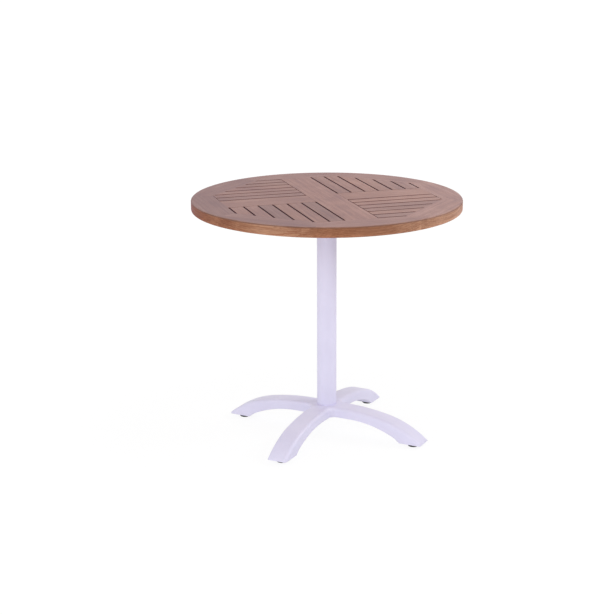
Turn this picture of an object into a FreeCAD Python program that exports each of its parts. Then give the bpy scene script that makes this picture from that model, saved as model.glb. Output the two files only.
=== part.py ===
import FreeCAD, Part
import math
import os

import Sketcher

# Round slatted wooden table top that tilts up on a four-arm pedestal.
# Millimetres, +Z up, origin on the floor under the middle of the column.
# X runs along the two cross boards, Y along the centre board, the arms lie on the diagonals.

os.makedirs("parts", exist_ok=True)
doc = FreeCAD.newDocument("bistro_table")
sheet = doc.addObject("Spreadsheet::Sheet", "sizes")

# Driving sizes: alias, value, meaning
SIZES = [
    ("table_height", 730, "floor to the top face"),
    ("top_radius", 400, "outer radius of the round top"),
    ("rim_thick", 30, "thickness of the rim segments"),
    ("rim_round", 4, "rounding of the rim's outer edges"),
    ("board_width", 96, "width of the centre board and the cross boards"),
    ("board_thick", 24, "thickness of the boards"),
    ("rim_width", 87, "width of the rim at the middle of a segment"),
    ("slat_thick", 20, "thickness of one slat"),
    ("slat_gap", 4.5, "open gap beside each slat"),
    ("shoulder_gap", 1.4, "open joint at a slat's square shoulders; the slanted ones are tight"),
    ("edge_ease", 0.8, "rounding of the long top edges of boards and slats"),
    ("tongue_thick", 8, "thickness of the tongues"),
    ("tongue_long", 9.5, "how far a tongue reaches into its groove"),
    ("tongue_inset", 0.6, "tongue narrower than its slat, each side"),
    ("groove_play", 0.15, "play above and below a tongue"),
    ("groove_spare", 0.5, "room in front of a tongue"),
    ("foot_gap", 3, "gap between a levelling pad and the arm"),
    ("pad_height", 9, "height of a levelling pad"),
    ("pad_radius", 16, "radius of a levelling pad"),
    ("stud_radius", 4, "radius of a levelling stud"),
    ("stud_engage", 10, "stud length inside the arm"),
    ("stud_spare", 4, "hole depth beyond the stud"),
    ("foot_inset", 35, "end of an arm to the levelling stud"),
    ("arm_reach", 325, "column axis to the end of an arm"),
    ("arm_width", 62, "width of an arm"),
    ("hub_top", 78, "top of the hub above the flat ends of the arms"),
    ("hub_under", 48, "underside of the hub above the flat ends"),
    ("crown_x", 60, "end of the level part of the arm's top"),
    ("shoulder_x", 200, "where the top curve tightens"),
    ("crown_radius", 700, "radius of the gentle part of the top curve"),
    ("tip_height", 4, "height of the end of an arm"),
    ("arch_start", 85, "where the arch under an arm begins"),
    ("foot_step", 15, "length of the slope from the arch to the flat"),
    ("arch_end_height", 12, "height of the arch at its end"),
    ("arch_radius", 330, "radius of the arch under an arm"),
    ("flat_long", 68, "length of the flat under an arm"),
    ("crotch_radius", 20, "rounding between neighbouring arms"),
    ("arm_round", 10, "rounding of the upper edges of the arms"),
    ("tube_radius", 29.5, "outer radius of the column"),
    ("tube_wall", 3, "wall of the column tube"),
    ("spigot_play", 0.05, "radial play of plugs, shafts and studs"),
    ("spigot_long", 20, "plug length inside the column tube"),
    ("rod_radius", 6, "radius of the tie rod"),
    ("rod_engage", 18, "tie rod length inside the head above its plug"),
    ("rod_nut_radius", 11, "corner radius of the tie rod nut"),
    ("rod_nut_thick", 10, "thickness of the tie rod nut"),
    ("rod_washer_radius", 18, "radius of the tie rod washer"),
    ("rod_washer_thick", 3, "thickness of the tie rod washer"),
    ("plate_thick", 6, "thickness of the top bracket plate"),
    ("plate_reach", 130, "plate centre to the end of its arms"),
    ("plate_width", 80, "width of the plate's arms"),
    ("plate_round", 12, "corner rounding of the plate"),
    ("screw_reach", 115, "plate centre to a row of screws"),
    ("screw_side", 24, "screw to the middle line of its arm"),
    ("screw_radius", 2.4, "radius of a screw shank"),
    ("screw_head_radius", 5, "radius of a screw head"),
    ("screw_long", 16, "screw length in the wood"),
    ("hinge_shift", 35, "column axis to the hinge axis"),
    ("hinge_drop", 24, "plate underside to the hinge axis"),
    ("pin_radius", 5, "radius of the hinge bolt"),
    ("barrel_radius", 22, "radius of the head's hinge barrel"),
    ("head_width", 48, "width of the column head"),
    ("head_wall", 4, "flange of the head above the tube"),
    ("seat_back", 40, "how far the seat reaches behind the column axis"),
    ("seat_front", 18, "how far the seat reaches before the column axis"),
    ("seat_thick", 10, "thickness of the seat"),
    ("neck_depth", 50, "depth of the head's neck"),
    ("stop_below", 46, "hinge axis to the middle of the stop"),
    ("stop_high", 20, "height of the stop lug"),
    ("buffer_thick", 6, "rubber buffer standing off the stop lug"),
    ("buffer_seat", 3, "rubber buffer depth inside the stop lug"),
    ("buffer_radius", 8, "radius of the rubber buffer"),
    ("neck_high", 62, "plate underside to the top of the column tube"),
    ("disc_thick", 2, "thickness of the hinge washers"),
    ("disc_radius", 13, "radius of the hinge washers"),
    ("lug_thick", 8, "thickness of a bracket lug"),
    ("lug_radius", 15, "radius of a bracket lug"),
    ("nut_radius", 9.5, "corner radius of the hinge nut"),
    ("nut_thick", 8, "thickness of the hinge nut"),
    ("cam_radius", 9, "radius of the clamp cam"),
    ("cam_throw", 1.5, "offset of the cam"),
    ("cam_air", 0.3, "air between the cam and its washer"),
    ("cam_cheek", 5, "thickness of a cam cheek"),
    ("cam_pin_radius", 3, "radius of the cam pin"),
    ("eye_thick", 8, "thickness of the bolt's eye"),
    ("eye_radius", 7, "radius of the bolt's eye"),
    ("side_air", 0.3, "air beside the bolt's eye"),
    ("lever_long", 84, "length of the clamp lever"),
    ("lever_width", 14, "width of the clamp lever"),
    ("lever_start", 11, "cam pin to the root of the lever"),
]

# Sizes that follow from others: alias, formula, meaning
DERIVED = [
    ("top_under", "table_height - rim_thick", "underside of the rim"),
    ("board_under", "table_height - board_thick", "underside of the boards"),
    ("slat_under", "table_height - slat_thick", "underside of the slats"),
    ("board_half", "board_width / 2", "half width of a board"),
    ("apothem", "top_radius - rim_width", "middle to the flats of the rim's inner edge"),
    ("slat_width", "(apothem - board_half - 7 * slat_gap) / 6", "width of one slat"),
    ("slat_pitch", "slat_width + slat_gap", "from slat to slat"),
    ("tongue_low", "slat_under + (slat_thick - tongue_thick) / 2", "underside of the tongues"),
    ("tongue_high", "tongue_low + tongue_thick", "top of the tongues"),
    ("groove_low", "tongue_low - groove_play", "underside of the grooves"),
    ("groove_high", "tongue_high + groove_play", "top of the grooves"),
    ("groove_deep", "tongue_long + groove_spare", "depth of the grooves"),
    ("arm_under", "pad_height + foot_gap", "flat ends of the arms above the floor"),
    ("hub_face", "arm_under + hub_top", "face the column stands on"),
    ("hub_floor", "arm_under + hub_under", "underside of the hub"),
    ("arm_half", "arm_width / 2", "half width of an arm"),
    ("foot_reach", "arm_reach - foot_inset", "column axis to the levelling stud"),
    ("flat_start", "arm_reach - flat_long", "inner end of the flat under an arm"),
    ("arch_end", "flat_start - foot_step", "where the arch under an arm ends"),
    ("crown_sine", "(shoulder_x - crown_x) / crown_radius", "slope of the top curve at the shoulder"),
    ("crown_cosine", "sqrt(1 - crown_sine ^ 2)", "its cosine"),
    ("shoulder_height", "hub_top - crown_radius * (1 - crown_cosine)", "height of the top curve at the shoulder"),
    ("tail_run", "arm_reach - shoulder_x", "length of the tight part"),
    ("tail_fall", "shoulder_height - tip_height", "fall of the tight part"),
    ("tail_lean", "tail_fall * crown_cosine - tail_run * crown_sine", "fall seen from the shoulder's tangent"),
    ("tail_radius", "(tail_run ^ 2 + tail_fall ^ 2) / (2 * tail_lean)", "radius of the tight part"),
    ("tube_inner", "tube_radius - tube_wall", "inner radius of the column"),
    ("plate_under", "board_under - plate_thick", "underside of the bracket plate"),
    ("tube_top", "plate_under - neck_high", "top of the column tube"),
    ("hinge_height", "plate_under - hinge_drop", "hinge axis above the floor"),
    ("stop_face", "hinge_shift + hinge_drop", "where the plate stands when the top is up"),
    ("head_half", "head_width / 2", "half width of the head"),
    ("lug_in", "head_half + disc_thick", "inner face of a bracket lug"),
    ("lug_out", "lug_in + lug_thick", "outer face of a bracket lug"),
    ("cam_face", "lug_out + disc_thick", "washer face under the cam"),
    ("cam_axis", "cam_face + cam_air + cam_radius + cam_throw", "cam pin from the middle"),
    ("cheek_in", "eye_thick / 2 + side_air", "inner face of a cam cheek"),
    ("cheek_out", "cheek_in + cam_cheek", "outer face of a cam cheek"),
    ("rod_low", "hub_floor - rod_nut_thick", "lower end of the tie rod"),
]


def value(expression):
    """Number an expression over the sheet stands for."""
    result = sheet.evalExpression(expression)
    return float(getattr(result, "Value", result))


def fill_sheet():
    """Write sizes and formulas into the sheet and name their cells."""
    for row, (alias, number, meaning) in enumerate(SIZES, start=1):
        sheet.set("A%d" % row, meaning)
        sheet.set("B%d" % row, str(number))
        sheet.setAlias("B%d" % row, alias)
    for row, (alias, formula, meaning) in enumerate(DERIVED, start=1):
        sheet.set("D%d" % row, meaning)
        sheet.set("E%d" % row, "=" + formula)
        sheet.setAlias("E%d" % row, alias)
        doc.recompute()


def sized(expression):
    """Prefix every sheet alias in an expression, for use outside the sheet."""
    words = []
    word = ""
    for sign in expression + " ":
        if sign.isalpha() or sign == "_" or (word and sign.isdigit()):
            word += sign
            continue
        words.append("sizes." + word if word in ALIASES else word)
        words.append(sign)
        word = ""
    return "".join(words).strip()


def bind(obj, **expressions):
    """Bind properties of an object to expressions over the sheet."""
    for name, expression in expressions.items():
        obj.setExpression(name, sized(expression))


def place(obj, x="0", y="0", z="0", axis=None, turn="0"):
    """Bind an object's position, and optionally its turn about an axis."""
    if axis is not None:
        obj.Placement = FreeCAD.Placement(FreeCAD.Vector(), FreeCAD.Rotation(FreeCAD.Vector(*axis), 1))
        obj.setExpression(".Placement.Rotation.Angle", sized(turn))
    for name, expression in (("x", x), ("y", y), ("z", z)):
        obj.setExpression(".Placement.Base." + name, sized(expression))


fill_sheet()
ALIASES = {alias for alias, _, _ in SIZES + DERIVED}


# Sketches and bodies

def body_named(name):
    return doc.addObject("PartDesign::Body", name)


def sketch_on(body, role, name):
    """Sketch on one of the body's own origin planes."""
    plane = next(item for item in body.Origin.OriginFeatures if item.Role == role)
    sketch = body.newObject("Sketcher::SketchObject", name)
    sketch.AttachmentSupport = [(plane, "")]
    sketch.MapMode = "FlatFace"
    return sketch


def pin_point(sketch, geometry, end, x, y):
    """Hold a sketch point at a position bound to the sheet."""
    for kind, expression, line in (("DistanceX", x, -2), ("DistanceY", y, -1)):
        number = value(sized(expression))
        if abs(number) < 1e-9:
            sketch.addConstraint(Sketcher.Constraint("PointOnObject", geometry, end, line))
            continue
        if number > 0:
            index = sketch.addConstraint(Sketcher.Constraint(kind, -1, 1, geometry, end, number))
            bound = sized(expression)
        else:
            index = sketch.addConstraint(Sketcher.Constraint(kind, geometry, end, -1, 1, -number))
            bound = "-(" + sized(expression) + ")"
        sketch.setExpression("Constraints[%d]" % index, bound)


def arc_between(start, finish, radius):
    """Short arc from start to finish; a positive radius turns left, a negative one right."""
    chord = finish - start
    side = FreeCAD.Vector(-chord.y, chord.x, 0).normalize()
    rise = math.sqrt(radius ** 2 - (chord.Length / 2) ** 2)
    centre = (start + finish) * 0.5 + side * math.copysign(rise, radius)
    first, last = (start, finish) if radius > 0 else (finish, start)
    angles = [math.atan2(p.y - centre.y, p.x - centre.x) for p in (first, last)]
    circle = Part.Circle(centre, FreeCAD.Vector(0, 0, 1), abs(radius))
    return Part.ArcOfCircle(circle, angles[0], angles[1])


def outline(sketch, points):
    """Closed outline. Each point is (x, y) or (x, y, radius of the arc to the next point)."""
    spots = [FreeCAD.Vector(value(sized(p[0])), value(sized(p[1])), 0) for p in points]
    ends = []
    for index, point in enumerate(points):
        start, finish = spots[index], spots[(index + 1) % len(spots)]
        if len(point) == 2:
            geometry = sketch.addGeometry(Part.LineSegment(start, finish), False)
            ends.append((geometry, 1, 2))
            continue
        radius = value(sized(point[2]))
        geometry = sketch.addGeometry(arc_between(start, finish, radius), False)
        ends.append((geometry, 1, 2) if radius > 0 else (geometry, 2, 1))
        rule = sketch.addConstraint(Sketcher.Constraint("Radius", geometry, abs(radius)))
        sketch.setExpression("Constraints[%d]" % rule, "abs(" + sized(point[2]) + ")")
    for index, (geometry, _, last) in enumerate(ends):
        following, first, _ = ends[(index + 1) % len(ends)]
        sketch.addConstraint(Sketcher.Constraint("Coincident", geometry, last, following, first))
    for (geometry, first, _), point in zip(ends, points):
        pin_point(sketch, geometry, first, point[0], point[1])


def circle(sketch, x, y, radius):
    """Circle with bound centre and radius."""
    centre = FreeCAD.Vector(value(sized(x)), value(sized(y)), 0)
    shape = Part.Circle(centre, FreeCAD.Vector(0, 0, 1), value(sized(radius)))
    geometry = sketch.addGeometry(shape, False)
    rule = sketch.addConstraint(Sketcher.Constraint("Radius", geometry, value(sized(radius))))
    sketch.setExpression("Constraints[%d]" % rule, sized(radius))
    pin_point(sketch, geometry, 3, x, y)


def rectangle(sketch, x0, y0, x1, y1):
    outline(sketch, [(x0, y0), (x1, y0), (x1, y1), (x0, y1)])


def grown(body, kind, sketch, length, middle=False, back=False):
    """Pad or pocket of a sketch by a bound length."""
    feature = body.newObject("PartDesign::" + kind, sketch.Name + "_" + kind.lower())
    feature.Profile = sketch
    bind(feature, Length=length)
    feature.Midplane = middle
    feature.Reversed = back
    sketch.Visibility = False
    return feature


# Part primitives and booleans

def solid(kind, name, x="0", y="0", z="0", axis=None, turn="0", **sizes_of):
    """Part primitive with bound sizes and a bound place."""
    obj = doc.addObject("Part::" + kind, name)
    bind(obj, **sizes_of)
    place(obj, x, y, z, axis, turn)
    return obj


def block(name, x0, x1, y0, y1, z0, z1):
    """Box between bound limits."""
    spans = ["(%s) - (%s)" % pair for pair in ((x1, x0), (y1, y0), (z1, z0))]
    return solid("Box", name, x0, y0, z0, Length=spans[0], Width=spans[1], Height=spans[2])


def rod(name, radius, x, y, z, length, axis=None, turn="0"):
    """Round bar; stands along Z unless it is turned."""
    return solid("Cylinder", name, x, y, z, axis, turn, Radius=radius, Height=length)


def rod_x(name, radius, x0, x1, y, z):
    """Round bar along X."""
    return rod(name, radius, x0, y, z, "(%s) - (%s)" % (x1, x0), (0, 1, 0), "90")


def octagon(name, apothem, low, high):
    """Eight-sided prism about Z with flats facing X and Y."""
    obj = solid("Prism", name, z=low, axis=(0, 0, 1), turn="22.5",
                Circumradius="(%s) / cos(22.5)" % apothem, Height="(%s) - (%s)" % (high, low))
    obj.Polygon = 8
    return obj


def fused(name, shapes):
    obj = doc.addObject("Part::MultiFuse", name)
    obj.Shapes = shapes
    return obj


def shared(name, base, tool):
    obj = doc.addObject("Part::Common", name)
    obj.Base = base
    obj.Tool = tool
    return obj


def cut(name, base, tool):
    obj = doc.addObject("Part::Cut", name)
    obj.Base = base
    obj.Tool = tool
    return obj


nodes = []


def node(obj, label):
    """Register a finished sub-part under its label."""
    obj.Label = label
    nodes.append(obj)
    return obj


# Table top: rim segments, boards and slats

panel_prism = octagon("panel_prism", "apothem", "slat_under - 20", "table_height + 20")
tongue_prism = octagon("tongue_prism", "apothem + tongue_long", "slat_under - 20", "table_height + 20")
rim_prism = octagon("rim_prism", "apothem", "top_under - 20", "table_height + 20")
groove_prism = octagon("groove_prism", "apothem + groove_deep", "groove_low", "groove_high")


def make_rim():
    """Eight equal segments: round outside, flat inside, grooved for the tongues."""
    wedge = body_named("rim_wedge")
    sketch = sketch_on(wedge, "XZ_Plane", "rim_section")
    outline(sketch, [
        ("apothem - 10", "top_under"),
        ("top_radius - rim_round", "top_under", "rim_round"),
        ("top_radius", "top_under + rim_round"),
        ("top_radius", "table_height - rim_round", "rim_round"),
        ("top_radius - rim_round", "table_height"),
        ("apothem - 10", "table_height"),
    ])
    turned = wedge.newObject("PartDesign::Revolution", "rim_turned")
    turned.Profile = sketch
    turned.ReferenceAxis = (sketch, ["V_Axis"])
    turned.Midplane = True
    turned.Angle = 45
    hollow = fused("rim_hollow", [rim_prism, groove_prism])
    for index in range(8):
        segment = cut("rim_cut_%d" % (index + 1), wedge, hollow)
        place(segment, axis=(0, 0, 1), turn="%d" % (index * 45))
        node(segment, "rim_segment_%d" % (index + 1))


def board_section(sketch):
    """Board section with eased top edges and a groove along each side."""
    side = "board_half"
    deep = "board_half - groove_deep"
    outline(sketch, [
        ("-" + side, "board_under"), (side, "board_under"),
        (side, "groove_low"), (deep, "groove_low"), (deep, "groove_high"), (side, "groove_high"),
        (side, "table_height - edge_ease", "edge_ease"), (side + " - edge_ease", "table_height"),
        ("-(%s - edge_ease)" % side, "table_height", "edge_ease"), ("-" + side, "table_height - edge_ease"),
        ("-" + side, "groove_high"), ("-(%s)" % deep, "groove_high"),
        ("-(%s)" % deep, "groove_low"), ("-" + side, "groove_low"),
    ])


def make_board(name, plane, length, holes):
    """Board with a tongue at each end and pilot holes for the bracket screws."""
    body = body_named(name + "_body")
    section = sketch_on(body, plane, name + "_section")
    board_section(section)
    grown(body, "Pad", section, length, middle=True)
    tongue = sketch_on(body, plane, name + "_tongue")
    half = "board_half - groove_deep - tongue_inset"
    rectangle(tongue, "-(%s)" % half, "tongue_low", half, "tongue_high")
    grown(body, "Pad", tongue, "%s + 2 * tongue_long" % length, middle=True)
    pilots = sketch_on(body, "XY_Plane", name + "_pilots")
    for x, y in holes:
        circle(pilots, x, y, "screw_radius + spigot_play")
    grown(body, "Pocket", pilots, "board_under + screw_long + 0.5", back=True)
    return body


def make_boards():
    """One full-length centre board and two cross boards that meet it."""
    rows = [("%sscrew_side" % a, "%sscrew_reach" % b) for a in ("-", "") for b in ("-", "")]
    node(make_board("centre", "XZ_Plane", "2 * apothem", rows), "centre_board")
    middle = "(apothem + board_half) / 2"
    for side, turn in (("right", "0"), ("left", "180")):
        holes = [("screw_reach - %s" % middle, "%sscrew_side" % sign) for sign in ("-", "")]
        body = make_board(side, "YZ_Plane", "(apothem - board_half)", holes)
        place(body, middle if turn == "0" else "-" + middle, axis=(0, 0, 1), turn=turn)
        node(body, "cross_board_" + side)


def make_slats():
    """Six slats a quarter, tongued at both ends; each quarter is turned against the last."""
    quarters = ("back_right", "back_left", "front_left", "front_right")
    for index in range(6):
        near = "board_half + slat_gap + %d * slat_pitch" % index
        far = near + " + slat_width"
        blank = body_named("slat_blank_%d" % (index + 1))
        section = sketch_on(blank, "XZ_Plane", "slat_section_%d" % (index + 1))
        outline(section, [
            (near, "slat_under"), (far, "slat_under"),
            (far, "table_height - edge_ease", "edge_ease"), (far + " - edge_ease", "table_height"),
            (near + " + edge_ease", "table_height", "edge_ease"), (near, "table_height - edge_ease"),
        ])
        grown(blank, "Pad", section, "apothem - board_half - 2 * shoulder_gap", back=True)
        place(blank, y="board_half + shoulder_gap")
        stave = shared("stave_%d" % (index + 1), blank, panel_prism)
        bar = block("tongue_bar_%d" % (index + 1), near + " + tongue_inset", far + " - tongue_inset",
                    "board_half - tongue_long", "apothem + 2 * tongue_long", "tongue_low", "tongue_high")
        tongue = shared("tongue_%d" % (index + 1), bar, tongue_prism)
        for quarter, name in enumerate(quarters):
            slat = fused("slat_fuse_%d_%d" % (quarter + 1, index + 1), [stave, tongue])
            place(slat, axis=(0, 0, 1), turn="%d" % (quarter * 90))
            node(slat, "slat_%s_%d" % (name, index + 1))


# Pedestal: base casting, feet, column, tie rod and head

def arm_heights(reach):
    """Upper and lower height of an arm at a distance from the column axis."""
    top = value("sizes.hub_top")
    crown, shoulder = value("sizes.crown_x"), value("sizes.shoulder_x")
    if reach > crown:
        bend = value("sizes.crown_radius")
        top -= bend - math.sqrt(bend ** 2 - (min(reach, shoulder) - crown) ** 2)
    if reach > shoulder:
        bend = value("sizes.tail_radius")
        sine = value("sizes.crown_sine") + (reach - shoulder) / bend
        top -= bend * (value("sizes.crown_cosine") - math.sqrt(max(0, 1 - sine ** 2)))
    start, finish = value("sizes.arch_start"), value("sizes.flat_start")
    part = min(1, max(0, (reach - start) / (finish - start)))
    return top, value("sizes.hub_under") * (1 - part)


def upper_edges(shape):
    """Names of the edges that run along the top of the arms and round the crotches."""
    half, raised = value("sizes.arm_half"), value("sizes.arm_under")
    found = []
    for index, edge in enumerate(shape.Edges, start=1):
        ends = [vertex.Point for vertex in edge.Vertexes]
        middle = edge.valueAt((edge.FirstParameter + edge.LastParameter) / 2)
        near, far = sorted((abs(middle.x), abs(middle.y)))
        top, under = arm_heights(far)
        level = middle.z - raised > (top + under) / 2
        standing = len(ends) == 2 and (ends[0] - ends[1]).cross(FreeCAD.Vector(0, 0, 1)).Length < 1e-6
        if level and near > half - 0.01 and not standing:
            found.append("Edge%d" % index)
    return found


def make_base():
    """Casting of four equal arched arms with a plug for the column and holes for the feet."""
    body = body_named("base_body")
    side = sketch_on(body, "XZ_Plane", "arm_side")
    outline(side, [
        ("0", "hub_floor"), ("arch_start", "hub_floor", "-arch_radius"),
        ("arch_end", "arm_under + arch_end_height"), ("flat_start", "arm_under"),
        ("arm_reach", "arm_under"), ("arm_reach", "arm_under + tip_height", "tail_radius"),
        ("shoulder_x", "arm_under + shoulder_height", "crown_radius"),
        ("crown_x", "hub_face"), ("0", "hub_face"),
    ])
    arm = grown(body, "Pad", side, "arm_width", middle=True)
    stud = sketch_on(body, "XY_Plane", "stud_spot")
    circle(stud, "foot_reach", "0", "stud_radius + spigot_play")
    drilled = grown(body, "Pocket", stud, "arm_under + stud_engage + stud_spare", back=True)
    ring = body.newObject("PartDesign::PolarPattern", "four_arms")
    ring.Originals = [arm, drilled]
    ring.Axis = (stud, ["N_Axis"])
    ring.Angle = 360
    ring.Occurrences = 4
    body.Tip = ring
    doc.recompute()
    half = value("sizes.arm_half")
    crotches = []
    for index, edge in enumerate(ring.Shape.Edges, start=1):
        ends = [vertex.Point for vertex in edge.Vertexes]
        if all(abs(abs(p.x) - half) < 0.01 and abs(abs(p.y) - half) < 0.01 for p in ends):
            crotches.append("Edge%d" % index)
    crotch = body.newObject("PartDesign::Fillet", "crotch_rounding")
    crotch.Base = (ring, crotches)
    bind(crotch, Radius="crotch_radius")
    body.Tip = crotch
    doc.recompute()
    rounding = body.newObject("PartDesign::Fillet", "arm_rounding")
    rounding.Base = (crotch, upper_edges(crotch.Shape))
    bind(rounding, Radius="arm_round")
    body.Tip = rounding
    plug = sketch_on(body, "XY_Plane", "plug_round")
    circle(plug, "0", "0", "tube_inner - spigot_play")
    grown(body, "Pad", plug, "hub_face + spigot_long")
    under = sketch_on(body, "XY_Plane", "plug_under")
    circle(under, "0", "0", "tube_inner - spigot_play + 0.01")
    grown(body, "Pocket", under, "hub_floor", back=True)
    bore = sketch_on(body, "XY_Plane", "rod_bore")
    circle(bore, "0", "0", "rod_radius + 0.5")
    grown(body, "Pocket", bore, "hub_face + spigot_long + 1", back=True)
    place(body, axis=(0, 0, 1), turn="45")
    node(body, "base_casting")


def make_feet():
    """Black levelling pads on studs that screw into the ends of the arms."""
    for index in range(4):
        pad = body_named("pad_body_%d" % (index + 1))
        section = sketch_on(pad, "XZ_Plane", "pad_section_%d" % (index + 1))
        outline(section, [
            ("0", "0"), ("pad_radius - 2", "0"), ("pad_radius", "2"),
            ("pad_radius", "pad_height - 1"), ("pad_radius - 1", "pad_height"),
            ("stud_radius", "pad_height"), ("stud_radius", "pad_height / 2"), ("0", "pad_height / 2"),
        ])
        turned = pad.newObject("PartDesign::Revolution", "pad_turned_%d" % (index + 1))
        turned.Profile = section
        turned.ReferenceAxis = (section, ["V_Axis"])
        turned.Angle = 360
        angle = 45 + index * 90
        spot = ["foot_reach * %s(%d)" % (way, angle) for way in ("cos", "sin")]
        place(pad, spot[0], spot[1])
        node(pad, "foot_pad_%d" % (index + 1))
        stud = rod("stud_bar_%d" % (index + 1), "stud_radius", spot[0], spot[1], "pad_height / 2",
                   "arm_under + stud_engage - pad_height / 2")
        node(stud, "foot_stud_%d" % (index + 1))


def make_column():
    """Column tube standing on the hub."""
    body = body_named("tube_body")
    section = sketch_on(body, "XY_Plane", "tube_ring")
    circle(section, "0", "0", "tube_radius")
    circle(section, "0", "0", "tube_inner")
    grown(body, "Pad", section, "tube_top - hub_face")
    place(body, z="hub_face")
    node(body, "column_tube")


def make_tie_rod():
    """Threaded rod that pulls the head, the tube and the base together, with its nut and washer."""
    top = "tube_top + rod_engage"
    node(rod("rod_bar", "rod_radius", "0", "0", "rod_low - rod_washer_thick - 4",
             "%s - (rod_low - rod_washer_thick - 4)" % top), "tie_rod")
    disc = rod("rod_disc", "rod_washer_radius", "0", "0", "hub_floor - rod_washer_thick", "rod_washer_thick")
    hole = rod("rod_disc_hole", "rod_radius + spigot_play", "0", "0", "hub_floor - 20", "40")
    node(cut("rod_washer", disc, hole), "tie_washer")
    hexagon = solid("Prism", "rod_hexagon", z="hub_floor - rod_washer_thick - rod_nut_thick",
                    Circumradius="rod_nut_radius", Height="rod_nut_thick")
    hexagon.Polygon = 6
    node(cut("rod_nut", hexagon, hole), "tie_nut")


def make_head():
    """Cast head: plug in the tube, neck, seat for the plate, hinge barrel and stop lug."""
    plug = rod("head_plug", "tube_inner - spigot_play", "0", "0", "tube_top - spigot_long", "spigot_long + head_wall")
    flange = rod("head_flange", "tube_radius", "0", "0", "tube_top", "head_wall")
    body = body_named("head_neck")
    side = sketch_on(body, "YZ_Plane", "head_side")
    outline(side, [
        ("-neck_depth / 2", "tube_top"), ("tube_radius + 1", "tube_top"),
        ("stop_face - buffer_thick", "hinge_height - stop_below - stop_high / 2"),
        ("stop_face - buffer_thick", "hinge_height - stop_below + stop_high / 2"),
        ("hinge_shift", "hinge_height - barrel_radius"), ("hinge_shift", "hinge_height + barrel_radius"),
        ("seat_front", "plate_under"), ("-seat_back", "plate_under"),
        ("-seat_back", "plate_under - seat_thick"), ("-neck_depth / 2", "plate_under - 2 * seat_thick"),
    ])
    grown(body, "Pad", side, "head_width", middle=True)
    barrel = rod_x("head_barrel", "barrel_radius", "-head_half", "head_half", "hinge_shift", "hinge_height")
    whole = fused("head_whole", [plug, flange, body, barrel])
    holes = fused("head_holes", [
        rod_x("head_bore", "pin_radius + spigot_play", "-head_width", "head_width", "hinge_shift", "hinge_height"),
        rod("head_thread", "rod_radius + spigot_play", "0", "0", "tube_top - 2 * spigot_long",
            "2 * spigot_long + rod_engage + 2"),
        rod("head_pocket", "buffer_radius + spigot_play", "0", "stop_face - buffer_thick - buffer_seat",
            "hinge_height - stop_below", "buffer_thick + buffer_seat + 5", (1, 0, 0), "-90"),
    ])
    node(cut("head_cut", whole, holes), "column_head")
    node(rod("buffer_bar", "buffer_radius", "0", "stop_face - buffer_thick - buffer_seat",
             "hinge_height - stop_below", "buffer_thick + buffer_seat", (1, 0, 0), "-90"), "stop_buffer")


# Tilting bracket, hinge bolt and clamp lever

def screw_spots():
    """Screw positions under the centre board and the cross boards."""
    spots = []
    for along in ("-", ""):
        for across in ("-", ""):
            spots.append((across + "screw_side", along + "screw_reach"))
            spots.append((along + "screw_reach", across + "screw_side"))
    return spots


def screw_set(name, head, shank, start):
    """Countersunk screws, or the holes they need, as one shape."""
    pieces = []
    for index, (x, y) in enumerate(screw_spots(), start=1):
        pieces.append(solid("Cone", "%s_head_%d" % (name, index), x, y, "plate_under",
                            Radius1=head, Radius2=shank, Height="plate_thick * 0.6"))
        pieces.append(rod("%s_shank_%d" % (name, index), shank, x, y, "plate_under",
                          "plate_thick + %s" % start))
    return fused(name, pieces)


def make_bracket():
    """Cross-shaped plate under the top with two lugs for the hinge bolt."""
    body = body_named("plate_body")
    plan = sketch_on(body, "XY_Plane", "plate_plan")
    reach, side, turn = "plate_reach", "plate_width / 2", "plate_round"
    corner = []
    for quarter in range(4):
        for x, y, radius in (
            (reach, "-(%s - %s)" % (side, turn), None), (reach, "%s - %s" % (side, turn), turn),
            ("%s - %s" % (reach, turn), side, None), ("%s + %s" % (side, turn), side, "-" + turn),
            (side, "%s + %s" % (side, turn), None), (side, "%s - %s" % (reach, turn), turn),
        ):
            for _ in range(quarter):
                x, y = "-(%s)" % y, x
            corner.append((x, y) if radius is None else (x, y, radius))
    outline(plan, corner)
    grown(body, "Pad", plan, "plate_thick")
    place(body, z="plate_under")
    pieces = [body]
    for name, x0, x1 in (("left", "-lug_out", "-lug_in"), ("right", "lug_in", "lug_out")):
        pieces.append(rod_x("lug_round_" + name, "lug_radius", x0, x1, "hinge_shift", "hinge_height"))
        pieces.append(block("lug_web_" + name, x0, x1, "hinge_shift - lug_radius", "hinge_shift + lug_radius",
                            "hinge_height", "plate_under + plate_thick / 2"))
    whole = fused("bracket_whole", pieces)
    bore = rod_x("bracket_bore", "pin_radius + spigot_play", "-2 * head_width", "2 * head_width",
                 "hinge_shift", "hinge_height")
    holes = screw_set("screw_holes", "screw_head_radius + spigot_play", "screw_radius + spigot_play", "1")
    node(cut("bracket_cut", whole, fused("bracket_holes", [bore, holes])), "top_bracket")
    node(screw_set("screws", "screw_head_radius", "screw_radius", "screw_long"), "bracket_screws")


def ring_x(name, outer, inner, x0, x1):
    """Washer on the hinge axis."""
    disc = rod_x(name + "_disc", outer, x0, x1, "hinge_shift", "hinge_height")
    hole = rod_x(name + "_hole", inner, "(%s) - 5" % x0, "(%s) + 5" % x1, "hinge_shift", "hinge_height")
    return cut(name, disc, hole)


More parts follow.
